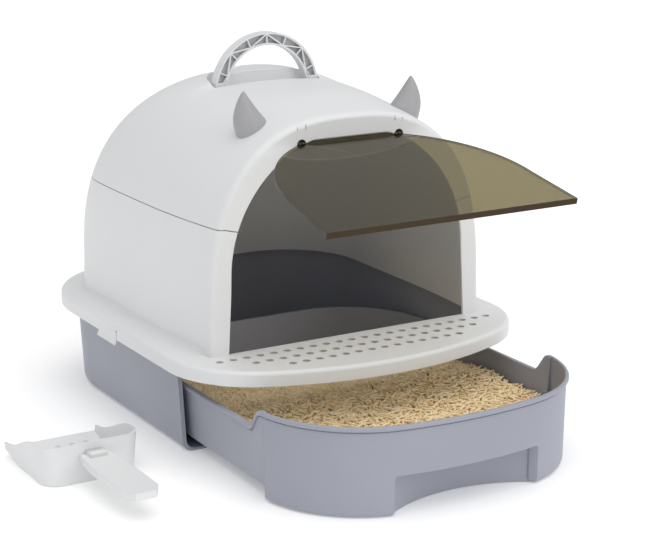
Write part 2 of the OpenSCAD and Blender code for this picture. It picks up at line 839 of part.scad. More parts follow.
module litter_scoop() {
    t = 2.4;
    place = [-300, -145, 0];
    slot_l = 24;
    slot_w = 7;
    grip_z = bowl_h - 20;
    grip_t = 8;
    back = -bowl_l / 2 - grip_z * 0.06;
    color(hood_white) translate(place) {
        difference() {
            intersection() {
                loft([ring(bowl_plan(1.6, 0, 0), 0), ring(bowl_plan(0, 1.6, 0), 1.6),
                      ring(bowl_plan(0, bowl_h, 0), bowl_h)]);
                bowl_side(0, true);
            }
            intersection() {
                loft([ring(bowl_plan(t, t, 5), t),
                      ring(bowl_plan(t, bowl_h + 1, 5), bowl_h + 1)]);
                bowl_side(t, false);
            }
            // Slots in the floor
            for (col = [0:2], row = [-2:2])
                translate([row * 16, bowl_l / 2 - 28 - col * 31, -1])
                    linear_extrude(20) {
                        square([slot_w, slot_l - slot_w], center = true);
                        for (e = [-1, 1])
                            translate([0, e * (slot_l - slot_w) / 2]) circle(slot_w / 2, $fn = 24);
                    }
        }
        // Flat grip with a thumb rest, hollow underneath
        difference() {
            union() {
                translate([0, 0, grip_z]) linear_extrude(grip_t)
                    polygon([[-15, back + 0.9], [-19, back - 34],
                             [-19, back - grip_l + 12], [-11, back - grip_l],
                             [11, back - grip_l], [19, back - grip_l + 12],
                             [19, back - 34], [15, back + 0.9]]);
                block([-9, back - 16, grip_z + grip_t - 1], [9, back + 0.5, grip_z + grip_t + 4]);
            }
            translate([0, 0, grip_z - 1]) linear_extrude(grip_t - t + 1)
                polygon([[-12.6, back - 6], [-16.6, back - 35], [-16.6, back - grip_l + 14],
                         [16.6, back - grip_l + 14], [16.6, back - 35], [12.6, back - 6]]);
        }
    }
}

base_shell();
drawer_tray();
litter_bed();
hood_lower();
hood_upper();
ear_left();
ear_right();
carry_handle();
handle_pin_left();
handle_pin_right();
door_flap();
door_peg_left();
door_peg_right();
latch_left();
latch_right();
latch_pin_left();
latch_pin_right();
litter_scoop();
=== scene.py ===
import bpy
import bmesh
import math
import numpy as np
from mathutils import Matrix, Vector


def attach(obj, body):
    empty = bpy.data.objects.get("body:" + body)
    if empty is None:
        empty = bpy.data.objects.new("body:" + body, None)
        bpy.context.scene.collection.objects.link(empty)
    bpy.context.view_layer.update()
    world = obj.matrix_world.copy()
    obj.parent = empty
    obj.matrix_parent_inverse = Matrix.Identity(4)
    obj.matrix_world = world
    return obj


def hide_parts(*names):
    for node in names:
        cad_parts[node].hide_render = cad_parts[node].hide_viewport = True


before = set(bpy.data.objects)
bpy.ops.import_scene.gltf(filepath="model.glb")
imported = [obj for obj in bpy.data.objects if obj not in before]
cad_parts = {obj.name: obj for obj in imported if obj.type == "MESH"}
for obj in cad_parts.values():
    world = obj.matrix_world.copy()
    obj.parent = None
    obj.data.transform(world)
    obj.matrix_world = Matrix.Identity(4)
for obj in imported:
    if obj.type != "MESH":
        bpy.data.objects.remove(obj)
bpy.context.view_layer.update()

# ---- Studio -------------------------------------------------------------
# A white sheet of seamless paper on which the box stands, in the even light of a
# white tent, with a broad light overhead and a softer one from the front right.
camera = bpy.data.objects.new("camera", bpy.data.cameras.new("camera"))
bpy.context.scene.collection.objects.link(camera)
camera.location = (-0.9912, -1.8382, 0.6945)
camera.rotation_euler = (math.radians(90 - 15.117), 0, math.radians(-30.582))
camera.data.sensor_width = 36
camera.data.lens = 101.29
bpy.context.scene.camera = camera
bpy.context.scene.view_settings.view_transform = "Standard"

world = bpy.data.worlds.new("studio")
bpy.context.scene.world = world
world.use_nodes = True
sky = world.node_tree.nodes["Background"]
sky.inputs["Color"].default_value = (1, 1, 1, 1)
sky.inputs["Strength"].default_value = 0.52
backdrop = world.node_tree.nodes.new("ShaderNodeBackground")
backdrop.inputs["Color"].default_value = (1, 1, 1, 1)
backdrop.inputs["Strength"].default_value = 1.0
seen = world.node_tree.nodes.new("ShaderNodeLightPath")
choice = world.node_tree.nodes.new("ShaderNodeMixShader")
world.node_tree.links.new(seen.outputs["Is Camera Ray"], choice.inputs["Fac"])
world.node_tree.links.new(sky.outputs["Background"], choice.inputs[1])
world.node_tree.links.new(backdrop.outputs["Background"], choice.inputs[2])
world.node_tree.links.new(choice.outputs["Shader"],
                          world.node_tree.nodes["World Output"].inputs["Surface"])


def soft_light(name, towards, spread, strength):
    lamp = bpy.data.lights.new(name, "SUN")
    lamp.angle = math.radians(spread)
    lamp.energy = strength
    obj = bpy.data.objects.new(name, lamp)
    bpy.context.scene.collection.objects.link(obj)
    obj.rotation_euler = Vector(towards).to_track_quat("-Z", "Y").to_euler()
    return obj


soft_light("overhead", (0.05, 0.2, -1), 70, 1.3)
soft_light("front", (-0.45, 0.9, -0.42), 40, 0.54)

paper = bmesh.new()
bmesh.ops.create_grid(paper, x_segments=4, y_segments=4, size=6)
floor_mesh = bpy.data.meshes.new("floor")
paper.to_mesh(floor_mesh)
floor = bpy.data.objects.new("floor", floor_mesh)
bpy.context.scene.collection.objects.link(floor)
white_paper = bpy.data.materials.new("seamless_paper")
white_paper.use_nodes = True
sheet = white_paper.node_tree.nodes["Principled BSDF"]
sheet.inputs["Roughness"].default_value = 0.9
sheet.inputs["Specular IOR Level"].default_value = 0.1
sheet.inputs["Emission Color"].default_value = (1, 1, 1, 1)
sheet.inputs["Emission Strength"].default_value = 0.2
fibre = white_paper.node_tree.nodes.new("ShaderNodeTexNoise")
fibre.inputs["Scale"].default_value = 3
tone = white_paper.node_tree.nodes.new("ShaderNodeValToRGB")
tone.color_ramp.elements[0].color = (0.93, 0.93, 0.93, 1)
tone.color_ramp.elements[1].color = (0.96, 0.96, 0.96, 1)
white_paper.node_tree.links.new(fibre.outputs["Fac"], tone.inputs["Fac"])
white_paper.node_tree.links.new(tone.outputs["Color"], sheet.inputs["Base Color"])
floor.data.materials.append(white_paper)

# ---- Base ---------------------------------------------------------------
# The open-fronted lower shell, injection moulded in blue-grey polypropylene with a
# 3 mm wall. Its upper lip carries the hood, and a band stiffens the mouth.
MM = 0.001
wall = 3.0
half_w = 207.0
mouth_y = -169.0
flange_rear, flange_front = 200.0, -315.0
deck_z = 114.8
foot_r, foot_in, rim_in, lip_in = 12.0, 24.0, 18.5, 7.0
band_out, band_l = 1.6, 6.0
guide_x, guide_gap, guide_h = 130.0, 6.5, 5.0


def arc(cx, cy, r, a0, a1, n):
    turns = [math.radians(a0 + (a1 - a0) * i / n) for i in range(n + 1)]
    return [(cx + r * math.cos(a), cy + r * math.sin(a)) for a in turns]


def along(a, b, n):
    """Points strictly between two points."""
    return [(a[0] + (b[0] - a[0]) * i / n, a[1] + (b[1] - a[1]) * i / n) for i in range(1, n)]


def outline(hw, rear, rr, front, fr, br, side=1):
    """Plan with straight sides, round corners and a bowed front, anticlockwise."""
    bow_cy = front + br
    fx = hw - fr
    fy = bow_cy - math.sqrt((br - fr) ** 2 - fx * fx)
    turn = math.degrees(math.atan2(fx, bow_cy - fy))
    rear_right = arc(hw - rr, rear - rr, rr, 0, 90, 26)
    rear_left = arc(rr - hw, rear - rr, rr, 90, 180, 26)
    front_left = arc(-fx, fy, fr, 180, 270 - turn, 30)
    bow = arc(0, bow_cy, br, 270 - turn, 270 + turn, 44)[1:-1]
    front_right = arc(fx, fy, fr, 270 + turn, 360, 30)
    return (rear_right + along(rear_right[-1], rear_left[0], 8) + rear_left
            + along(rear_left[-1], front_left[0], side) + front_left + bow + front_right
            + along(front_right[-1], rear_right[0], side))


def flange_plan(d):
    return outline(half_w - d, flange_rear - d, 129 - d, flange_front + d, 106 - d, 360 - d)


def at_height(points, z):
    return [(x, y, z) for x, y in points]


def loft(rings, closed=True, wrap=False, caps=True):
    """Skin through rings of equal counts, with flat ends or joined to itself."""
    bm = bmesh.new()
    loops = []
    for points in rings:
        verts = [bm.verts.new(p) for p in points]
        last = len(verts) if closed else len(verts) - 1
        loops.append((verts, [bm.edges.new((verts[i], verts[(i + 1) % len(verts)]))
                              for i in range(last)]))
    pairs = list(zip(loops, loops[1:])) + ([(loops[-1], loops[0])] if wrap else [])
    for a, b in pairs:
        bmesh.ops.bridge_loops(bm, edges=a[1] + b[1])
    if caps and closed and not wrap:
        bm.faces.new(loops[0][0])
        bm.faces.new(loops[-1][0])
    elif caps:
        bmesh.ops.holes_fill(bm, edges=bm.edges, sides=0)
    bmesh.ops.recalc_face_normals(bm, faces=bm.faces)
    return solid(bm)


def solid(bm):
    """A work object, still in millimetres, from a bmesh."""
    mesh = bpy.data.meshes.new("work")
    bm.to_mesh(mesh)
    bm.free()
    obj = bpy.data.objects.new("work", mesh)
    bpy.context.scene.collection.objects.link(obj)
    return obj


def block(low, high):
    bm = bmesh.new()
    bmesh.ops.create_cube(bm, size=1)
    size = Vector(high) - Vector(low)
    bmesh.ops.scale(bm, vec=size, verts=bm.verts)
    bmesh.ops.translate(bm, vec=(Vector(low) + Vector(high)) / 2, verts=bm.verts)
    return solid(bm)


def combine(how, obj, *others):
    """Boolean of obj with each of the others, which are used up."""
    for other in others:
        cut = obj.modifiers.new("cut", "BOOLEAN")
        cut.operation = how
        cut.solver = "EXACT"
        cut.object = other
        bpy.context.view_layer.update()
        done = bpy.data.meshes.new_from_object(
            obj.evaluated_get(bpy.context.evaluated_depsgraph_get()))
        obj.modifiers.clear()
        obj.data = done
        bpy.data.objects.remove(other)
    return obj


def minus(obj, *others):
    return combine("DIFFERENCE", obj, *others)


def plus(obj, *others):
    return combine("UNION", obj, *others)


def common(obj, *others):
    return combine("INTERSECT", obj, *others)


def gather(obj, *others):
    """Adds closed shells to obj without cutting them into each other."""
    bm = bmesh.new()
    bm.from_mesh(obj.data)
    for other in others:
        bm.from_mesh(other.data)
        bpy.data.objects.remove(other)
    bm.to_mesh(obj.data)
    bm.free()
    return obj


def piece(obj, name, material, body, nodes, angle=32):
    """Takes a work object into the frame: metres, soft shading, finish and body."""
    obj.name = obj.data.name = name
    obj.data.transform(Matrix.Scale(MM, 4))
    obj.data.materials.clear()
    obj.data.materials.append(material)
    obj.data.polygons.foreach_set("material_index", [0] * len(obj.data.polygons))
    obj.data.shade_smooth()
    obj.data.set_sharp_from_angle(angle=math.radians(angle))
    weigh = obj.modifiers.new("weigh", "WEIGHTED_NORMAL")
    weigh.keep_sharp = True
    weigh.weight = 80
    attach(obj, body)
    if nodes:
        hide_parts(*nodes)
    return obj


def linear(r, g, b):
    """Colour from 8-bit values as seen on a screen."""
    return tuple(((c / 255 + 0.055) / 1.055) ** 2.4 if c > 10 else c / 255 / 12.92
                 for c in (r, g, b)) + (1,)


def moulded_surface():
    """Group: what a mould leaves on plastic, as colour, roughness and normal."""
    group = bpy.data.node_groups.new("moulded_surface", "ShaderNodeTree")
    face = group.interface
    for label, kind, value in (("Colour", "NodeSocketColor", (0.8, 0.8, 0.8, 1)),
                               ("Flow", "NodeSocketFloat", 0.03),
                               ("Roughness", "NodeSocketFloat", 0.4),
                               ("Grain size", "NodeSocketFloat", 1500.0),
                               ("Grain depth", "NodeSocketFloat", 0.1),
                               ("Edge radius", "NodeSocketFloat", 0.0006)):
        face.new_socket(label, in_out="INPUT", socket_type=kind).default_value = value
    for label, kind in (("Colour", "NodeSocketColor"), ("Roughness", "NodeSocketFloat"),
                        ("Normal", "NodeSocketVector")):
        face.new_socket(label, in_out="OUTPUT", socket_type=kind)
    n, link = group.nodes, group.links.new
    into, out = n.new("NodeGroupInput"), n.new("NodeGroupOutput")
    place = n.new("ShaderNodeTexCoord")
    flow = n.new("ShaderNodeTexNoise")
    flow.inputs["Scale"].default_value = 7
    flow.inputs["Detail"].default_value = 4
    link(place.outputs["Object"], flow.inputs["Vector"])
    spread = n.new("ShaderNodeMapRange")
    link(flow.outputs["Fac"], spread.inputs["Value"])
    spread.inputs["From Min"].default_value = 0.3
    spread.inputs["From Max"].default_value = 0.7
    darker = n.new("ShaderNodeMath")
    darker.operation = "MULTIPLY"
    link(spread.outputs["Result"], darker.inputs[0])
    link(into.outputs["Flow"], darker.inputs[1])
    keep = n.new("ShaderNodeMath")
    keep.operation = "SUBTRACT"
    keep.inputs[0].default_value = 1
    link(darker.outputs["Value"], keep.inputs[1])
    tint = n.new("ShaderNodeVectorMath")
    tint.operation = "SCALE"
    link(into.outputs["Colour"], tint.inputs["Vector"])
    link(keep.outputs["Value"], tint.inputs["Scale"])
    link(tint.outputs["Vector"], out.inputs["Colour"])
    rough = n.new("ShaderNodeMath")
    rough.operation = "MULTIPLY_ADD"
    link(spread.outputs["Result"], rough.inputs[0])
    rough.inputs[1].default_value = 0.07
    link(into.outputs["Roughness"], rough.inputs[2])
    link(rough.outputs["Value"], out.inputs["Roughness"])
    edge = n.new("ShaderNodeBevel")
    edge.samples = 4
    link(into.outputs["Edge radius"], edge.inputs["Radius"])
    grain = n.new("ShaderNodeTexNoise")
    grain.inputs["Detail"].default_value = 2
    link(place.outputs["Object"], grain.inputs["Vector"])
    link(into.outputs["Grain size"], grain.inputs["Scale"])
    bump = n.new("ShaderNodeBump")
    bump.inputs["Distance"].default_value = 0.0002
    link(into.outputs["Grain depth"], bump.inputs["Strength"])
    link(grain.outputs["Fac"], bump.inputs["Height"])
    link(edge.outputs["Normal"], bump.inputs["Normal"])
    link(bump.outputs["Normal"], out.inputs["Normal"])
    return group


moulded = moulded_surface()


def plastic(name, colour, flow=0.03, roughness=0.4, grain=1500.0, depth=0.1, radius=0.0006):
    """Material of a plain moulded plastic."""
    material = bpy.data.materials.new(name)
    material.use_nodes = True
    tree = material.node_tree
    shader = tree.nodes["Principled BSDF"]
    shader.inputs["IOR"].default_value = 1.49
    surface = tree.nodes.new("ShaderNodeGroup")
    surface.node_tree = moulded
    for label, value in (("Colour", colour), ("Flow", flow), ("Roughness", roughness),
                         ("Grain size", grain), ("Grain depth", depth),
                         ("Edge radius", radius)):
        surface.inputs[label].default_value = value
    tree.links.new(surface.outputs["Colour"], shader.inputs["Base Color"])
    tree.links.new(surface.outputs["Roughness"], shader.inputs["Roughness"])
    tree.links.new(surface.outputs["Normal"], shader.inputs["Normal"])
    return material


blue_grey = plastic("blue_grey_polypropylene", linear(160, 163, 175), 0.05, 0.42)
base_rim_z = deck_z - wall - 0.3


def base_form(d, z0, top):
    """The shell's outer form, or its hollow, with a round foot: d is the inset."""
    r = foot_r - d / 2
    rings = []
    for i in range(9):
        a = math.radians(90 * i / 8)
        rings.append(at_height(flange_plan(foot_in + d + r * (1 - math.sin(a))),
                               z0 + r * (1 - math.cos(a))))
    return loft(rings + [at_height(flange_plan(rim_in + d), top)])


base = common(base_form(0, 0, base_rim_z), block((-300, mouth_y, -5), (300, 300, 200)))
band = common(base_form(-band_out, 0, base_rim_z - 4),
              block((-300, mouth_y - 5, -5), (300, mouth_y + band_l, base_rim_z - 4)))
lip = common(loft([at_height(flange_plan(lip_in + 0.5), base_rim_z - 4),
                   at_height(flange_plan(lip_in), base_rim_z - 3.4),
                   at_height(flange_plan(lip_in), base_rim_z - 0.6),
                   at_height(flange_plan(lip_in + 0.6), base_rim_z)]),
             block((-300, mouth_y, 50), (300, 300, 200)))
base = minus(plus(base, band, lip), base_form(wall, wall, base_rim_z + 2))
guides = [block((x - wall / 2, mouth_y + 12, wall - 0.2),
                (x + wall / 2, mouth_y + 240, wall + guide_h))
          for x in (-guide_x - guide_gap, guide_gap - guide_x,
                    guide_x - guide_gap, guide_x + guide_gap)]
gather(base, *guides)
piece(base, "base", blue_grey, "housing", ["base_shell"])

# ---- Drawer -------------------------------------------------------------
# The pull-out tray, moulded in one with its deep bowed front. The rim is rolled
# outwards all round, steps up to the front, and a finger recess is moulded below.
drawer_out = 153.0
tray_z, front_z, tray_foot = 74.4, 96.0, 12.0
shoulder_y, shoulder_l = -162.0, 20.0
front_edge_y = -297.5
step_y = shoulder_y - shoulder_l - 6
tray_hw, front_hw, tray_rear, tray_rr = 171.0, 178.5, 164.0, 108.0
corner_r, bow_r = 120.0, 460.0
tray_lean, front_lean = 0.075, 0.015


def tray_plan(z, d):
    lean = tray_lean * z
    return outline(tray_hw + lean - d, tray_rear + lean / 2 - d, tray_rr - d,
                   front_edge_y + 3 - lean / 2 + d, corner_r - d, bow_r - d, side=56)


def front_plan(z, d):
    lean = front_lean * z
    return outline(front_hw + lean - d, tray_rear - d, tray_rr - d,
                   front_edge_y - lean + d, corner_r + lean - d, bow_r - d, side=56)


def rim_height(y):
    """Height of the rolled rim at a place along the closed tray."""
    t = min(1, max(0, (shoulder_y - y) / shoulder_l))
    return tray_z + (front_z - tray_z) * t * t * (3 - 2 * t)


def rim_ring(plan, d, drop):
    """A ring that follows the rim, inset by d and below the rim's top by drop."""
    low, high = plan(tray_z, d), plan(front_z, d)
    ring = []
    for (x0, y0), (x1, y1) in zip(low, high):
        z = rim_height(y0)
        t = (z - tray_z) / (front_z - tray_z)
        ring.append((x0 + (x1 - x0) * t, y0 + (y1 - y0) * t, z - drop))
    return ring


def tub(plan, foot, floor_z, edge_r, roll, inset):
    """An open tub: foot round, side, rolled rim, inner side and floor."""
    bead, inner_r = roll + inset, 5
    rings = []
    for i in range(6):
        a = math.radians(90 * i / 5)
        z = foot + edge_r * (1 - math.cos(a))
        rings.append(at_height(plan(z, inset + edge_r * (1 - math.sin(a))), z))
    for d, drop in ((inset, 6.8), (inset + 0.8, 6.5), (inset + 0.8, 5.4),
                    (inset - 0.45 * bead, 5.2), (0.15 * bead - roll, 4.6),
                    (-roll, 3.8), (-roll, 2.2), (0.2 * bead - roll, 1.0),
                    (0.6 * bead - roll, 0.2), (1.3, 0), (2.2, 0.15), (2.8, 0.8), (wall, 2.0)):
        rings.append(rim_ring(plan, d, drop))
    for i in range(6):
        a = math.radians(90 * i / 5)
        z = floor_z + inner_r * (1 - math.sin(a))
        rings.append(at_height(plan(z, wall + inner_r * (1 - math.cos(a))), z))
    return loft(rings)


def upright(r, cy, z0, z1, n=160):
    """A standing cylinder about x = 0."""
    return loft([at_height(arc(0, cy, r, 0, 360 - 360 / n, n - 1), z) for z in (z0, z1)])


recess_w, recess_z, recess_r, recess_deep = 86.0, 42.8, 165.0, 41.0
recess_cy = front_edge_y + recess_deep - recess_r
tray = common(tub(tray_plan, tray_foot, tray_foot + wall, 4, 3.2, 0),
              block((-300, step_y - 3, 0), (300, 300, 200)))
front = common(tub(front_plan, 0.8, tray_foot + wall, 6, 1.2, 1.5),
               block((-300, -400, -5), (300, step_y, 200)))


def recess_cutter():
    """The recess's outline with round upper corners, run back to a round wall."""
    r, foot, upper = 4, 7, recess_z - 4
    rings = []
    for w, y in ((recess_w + 40, front_edge_y - 45), (recess_w - 5, front_edge_y + 17),
                 (recess_w - 5, front_edge_y + 60)):
        shape = ([(w + foot, -5)] + arc(w + foot, foot, foot, 250, 180, 8)
                 + arc(w - r, upper, r, 0, 90, 6) + arc(r - w, upper, r, 90, 180, 6)
                 + arc(-w - foot, foot, foot, 0, -70, 8) + [(-w - foot, -5)])
        rings.append([(x, y, z) for x, z in shape])
    return common(loft(rings), upright(recess_r, recess_cy, -10, 80))


hump = common(upright(recess_r + wall, recess_cy, -10, recess_z + wall),
              block((-recess_w - wall, front_edge_y - 3, 3), (recess_w + wall, 0, 80)),
              loft([at_height(front_plan(z, 2.2), z) for z in (1, 60)]))
front = minus(plus(front, hump), recess_cutter())
runners = [block((s * guide_x - 4, shoulder_y + 12, wall + 0.3),
                 (s * guide_x + 4, shoulder_y + 260, tray_foot + 0.2)) for s in (-1, 1)]
drawer = gather(tray, front, *runners)
pulled_out = Matrix.Translation((0, -drawer_out, 0))
drawer.data.transform(pulled_out)
piece(drawer, "drawer", blue_grey, "drawer", ["drawer_tray"])

# ---- Litter -------------------------------------------------------------
# Plant-fibre pellets poured level at the front of the tray and thinner at its rear.
# A bed, painted dark brown as the shade in the gaps, lies under three loose layers of short
# rods, each with its own length and lie.
litter_z, bed_in = 52.0, wall + 0.4
fall_y, fall, cover = -60.0, 17 / 224, 3.2


def litter_top(y):
    """Level of the bed along the closed tray: flat, then falling, under the cover of rods."""
    return litter_z - max(0.0, y - fall_y) * fall - cover


def bed_ring(z, d):
    return [(x, y, min(z, litter_top(y))) for x, y in tray_plan(z, bed_in + d)]


bed = loft([bed_ring(tray_foot + wall + 0.3, 5), bed_ring(tray_foot + wall + 4, 1),
            bed_ring(litter_z, 0)])
bed = minus(bed, upright(recess_r + wall + 0.4, recess_cy, -10, recess_z + wall + 0.4))
bed.data.transform(pulled_out)

pellet_mat = bpy.data.materials.new("plant_fibre")
pellet_mat.use_nodes = True
tree = pellet_mat.node_tree
shader = tree.nodes["Principled BSDF"]
shader.inputs["Roughness"].default_value = 0.85
shader.inputs["Specular IOR Level"].default_value = 0.25
spot = tree.nodes.new("ShaderNodeTexCoord")
patch = tree.nodes.new("ShaderNodeTexNoise")
patch.inputs["Scale"].default_value = 150
patch.inputs["Detail"].default_value = 3
tree.links.new(spot.outputs["Object"], patch.inputs["Vector"])
ramp = tree.nodes.new("ShaderNodeValToRGB")
ramp.color_ramp.elements[0].color = linear(172, 134, 78)
ramp.color_ramp.elements[1].color = (1, 1, 1, 1)
ramp.color_ramp.elements.new(0.38).color = linear(255, 240, 206)
ramp.color_ramp.elements.new(0.56).color = linear(243, 216, 168)
tree.links.new(patch.outputs["Fac"], ramp.inputs["Fac"])
tree.links.new(ramp.outputs["Color"], shader.inputs["Base Color"])
crumb = tree.nodes.new("ShaderNodeTexNoise")
crumb.inputs["Scale"].default_value = 900
tree.links.new(spot.outputs["Object"], crumb.inputs["Vector"])
rise = tree.nodes.new("ShaderNodeBump")
rise.inputs["Strength"].default_value = 0.5
rise.inputs["Distance"].default_value = 0.0005
tree.links.new(crumb.outputs["Fac"], rise.inputs["Height"])
tree.links.new(rise.outputs["Normal"], shader.inputs["Normal"])
# Painted shade: the bed's dark brown stands in for the shade in the gaps between the rods.
deep = plastic("litter_bed_painted_shade", linear(104, 78, 42), 0.4, 0.9, 700, 1.0, 0.0)
piece(bed, "litter", deep, "drawer", ["litter_bed"])
rod_r, rod_l = 1.3, 11


def pellets(name, material, seed, rise, pitch=6.2):
    """A layer of rods over the bed, spread evenly, and each turned by chance."""
    chance = np.random.default_rng(seed)
    edge = np.array(tray_plan(litter_z, bed_in + 4.5))
    low, high = edge.min(0), edge.max(0)

    # Staggered places, each moved a little, of which those inside the tray are kept
    places = []
    for j in range(int((high[1] - low[1]) / pitch / 0.87) + 1):
        for i in range(int((high[0] - low[0]) / pitch) + 1):
            p = low + ((i + j % 2 / 2) * pitch, j * pitch * 0.87) + chance.uniform(-2, 2, 2)
            a, b = edge, np.roll(edge, -1, axis=0)
            span = (a[:, 1] > p[1]) != (b[:, 1] > p[1])
            cross = a[:, 0] + (p[1] - a[:, 1]) * (b[:, 0] - a[:, 0]) / np.where(
                span, b[:, 1] - a[:, 1], 1)
            if (span & (cross > p[0])).sum() % 2:
                places.append(p)
    x, y = np.array(places).T
    count = len(x)

    # One rod, repeated
    bm = bmesh.new()
    bmesh.ops.create_cone(bm, cap_ends=True, segments=6, radius1=rod_r,
                          radius2=rod_r - 0.1, depth=rod_l)
    obj = solid(bm)
    repeat = obj.modifiers.new("repeat", "ARRAY")
    repeat.count = count
    repeat.use_relative_offset = False
    repeat.use_constant_offset = False
    bpy.context.view_layer.update()
    obj.data = bpy.data.meshes.new_from_object(
        obj.evaluated_get(bpy.context.evaluated_depsgraph_get()))
    obj.modifiers.clear()

    # Each rod's place, axes and size: thinner towards the rear, in drifts that lie alike
    level = np.array([litter_top(v) for v in y])
    heap = 0.9 * np.sin(x / 37) * np.cos(y / 29) + 0.5 * np.sin(x / 13 + y / 17)
    thin = np.clip((-30 - y) / 60, 0.1, 1)
    centre = np.column_stack((x, y - drawer_out, level + thin * (
        heap + rise + chance.uniform(-0.5, 0.5, count))))
    turn = (2.2 * np.sin(x / 23 + 1.3 * np.sin(y / 31)) + 1.7 * np.cos(y / 19 + seed)
            + chance.normal(0, 0.6, count))
    tilt = chance.normal(0, 0.09, count)
    u = np.column_stack((np.cos(turn) * np.cos(tilt), np.sin(turn) * np.cos(tilt),
                         np.sin(tilt)))
    v = np.column_stack((-np.sin(turn), np.cos(turn), np.zeros(count)))
    w = np.cross(u, v)
    co = np.zeros(len(obj.data.vertices) * 3)
    obj.data.vertices.foreach_get("co", co)
    co = co.reshape(count, -1, 3)
    length = chance.uniform(0.65, 1.15, count)[:, None]
    girth = chance.uniform(0.85, 1.1, count)[:, None]
    co = (centre[:, None] + (co[:, :, 2] * length)[..., None] * u[:, None]
          + (co[:, :, 0] * girth)[..., None] * v[:, None]
          + (co[:, :, 1] * girth)[..., None] * w[:, None])
    obj.data.vertices.foreach_set("co", co.ravel())
    return piece(obj, name, material, "drawer", [], angle=50)


pellets("pellets_lower", pellet_mat, 4, 0.5)
pellets("pellets_middle", pellet_mat, 6, 2.0, 6.8)
pellets("pellets_upper", pellet_mat, 9, 3.9, 7.4)

# ---- Lower hood ---------------------------------------------------------
# White polypropylene moulding: the flange with its skirt, the perforated porch and
# the lower walls. Litter caught by the paws falls through the holes into the drawer.
face_y = flange_front + 100
crown_y = face_y + 206
spring_z, brow_z, crown_z, roof_fall = 154.0, 357.0, 377.0, 152.0
hood_hw, taper_l, taper_w = half_w - 28.5, 151, 10
rear_cy, rear_r = 71.0, 100.0
hood_rear = rear_cy + rear_r
pivot_y, pivot_z = -26.5, 362.0
saddle_y = pivot_y - 9
saddle_l, saddle_back, saddle_deep = 115.0, 14.0, 9.3
round_x, round_z = 2.6, 2.5
seam_z, seam_gap, seam_dip = 250.0, 1.0, 5.0
door_r, door_cz, door_flare, arch_top = 144.0, 197.0, 4.5, 333.4
drain_r, drain_pitch, drain_row, holes_across = 4.2, 16, 20.4, 22
hinge_y, hinge_z, peg_x = face_y + 4.5, 329.8, 64.0


def hood_width(y, d):
    """Half width of the hood at one place from front to rear."""
    if y > rear_cy:
        return hood_hw - rear_r + math.sqrt(max(0, (rear_r - d) ** 2 - (y - rear_cy) ** 2))
    taper = max(0, (face_y + taper_l - y) / taper_l)
    return hood_hw - d - taper_w * taper ** 2


def hood_top(y, d):
    """Height of the roof's ridge at one place from front to rear."""
    if y > crown_y:
        u = (y - crown_y) / (hood_rear - d - crown_y)
        return crown_z - roof_fall + (roof_fall - d) * math.sqrt(max(0, 1 - u * u))
    return brow_z - d + (crown_z - brow_z) * math.sin(
        math.radians(90 * (y - face_y) / (crown_y - face_y)))


def saddle(x, y):
    """Shallow dip in front of the handle."""
    if y < saddle_y - saddle_l or y > saddle_y + saddle_back:
        return 0
    deep = saddle_deep * math.exp(-(x / 75) ** 4)
    if y < saddle_y:
        return deep * math.sin(math.radians(90 * (y - saddle_y + saddle_l) / saddle_l)) ** 2
    return deep * (1 - (y - saddle_y) / saddle_back)


def power(v, e):
    """A power that keeps the sign of v."""
    return math.copysign(abs(v) ** e, v)


def hood_section(y, d, shrink, foot):
    """Superellipse arch over upright walls at one place from front to rear."""
    w = hood_width(y, d) - shrink
    h = hood_top(y, d) - shrink - spring_z
    ring = [(w + 2, y, foot)]
    for i in range(89):
        a = math.radians(180 * i / 88)
        x = w * power(math.cos(a), 2 / round_x)
        z = spring_z + h * power(math.sin(a), 2 / round_z)
        ring.append((x, y, z - saddle(x, y) * min(1, max(0, (z - 250) / 30))))
    return ring + [(-w - 2, y, foot)]


def hood_form(d, foot):
    """The hood's outer form, or its hollow, with a round front edge: d is the inset."""
    first, edge = face_y + d, 8
    rings = []
    for i in range(7):
        a = math.radians(90 * i / 6)
        rings.append(hood_section(first + edge * (1 - math.cos(a)), d,
                                  5 * (1 - math.sin(a)), foot))
    front_l, dip_end = saddle_y - first - edge, saddle_y + saddle_back
    stops = ([first + edge + front_l * i / 22 for i in range(1, 23)]
             + [saddle_y + 5, saddle_y + 10, dip_end]
             + [dip_end + (rear_cy - dip_end) * i / 11 for i in range(1, 12)]
             + [rear_cy + (rear_r - d) * math.sin(math.radians(90 * i / 22)) - (i == 22) * 0.01
                for i in range(1, 23)])
    return loft(rings + [hood_section(y, d, 0, foot) for y in stops])


def doorway(d, z0):
    """The doorway seen from the front, wider at its foot: d is the inset."""
    foot = door_r + door_flare - d
    return [(foot, z0)] + arc(0, door_cz, door_r - d, 0, 180, 96) + [(-foot, z0)]


def arch_height(z):
    """The opening's own outline runs level between the pegs, just above the flap."""
    if z < door_cz:
        return z
    return (z + arch_top - math.sqrt((z - arch_top) ** 2 + 1)) / 2


def across(shape, y0, y1):
    """A front-view shape run from y0 to y1."""
    return loft([[(x, y, z) for x, z in shape] for y in (y0, y1)])


flange_r = 4.5
skirt_z = deck_z - 16.3
rings = [at_height(flange_plan(d), z) for d, z in
         ((wall, deck_z - wall), (wall, skirt_z + 0.8), (2.3, skirt_z), (0.7, skirt_z),
          (0, skirt_z + 0.8))]
for i in range(9):
    a = math.radians(90 * i / 8)
    rings.append(at_height(flange_plan(flange_r * (1 - math.cos(a))),
                           deck_z - flange_r + flange_r * math.sin(a)))
flange = loft(rings)
shell = plus(flange, hood_form(0, deck_z - 1.5))
opening = [(x, arch_height(z)) for x, z in doorway(0, deck_z)]
shell = minus(shell, hood_form(wall, deck_z - wall - 1),
              across(opening, face_y - 9, face_y + 9))

# Round the doorway's front edge
bm = bmesh.new()
bm.from_mesh(shell.data)


def on_arch(v):
    inside = math.hypot(v.co.x, v.co.z - door_cz) if v.co.z > door_cz else abs(v.co.x)
    return abs(v.co.y - face_y) < 0.02 and v.co.z > deck_z + 0.01 and inside < door_r + 4.6


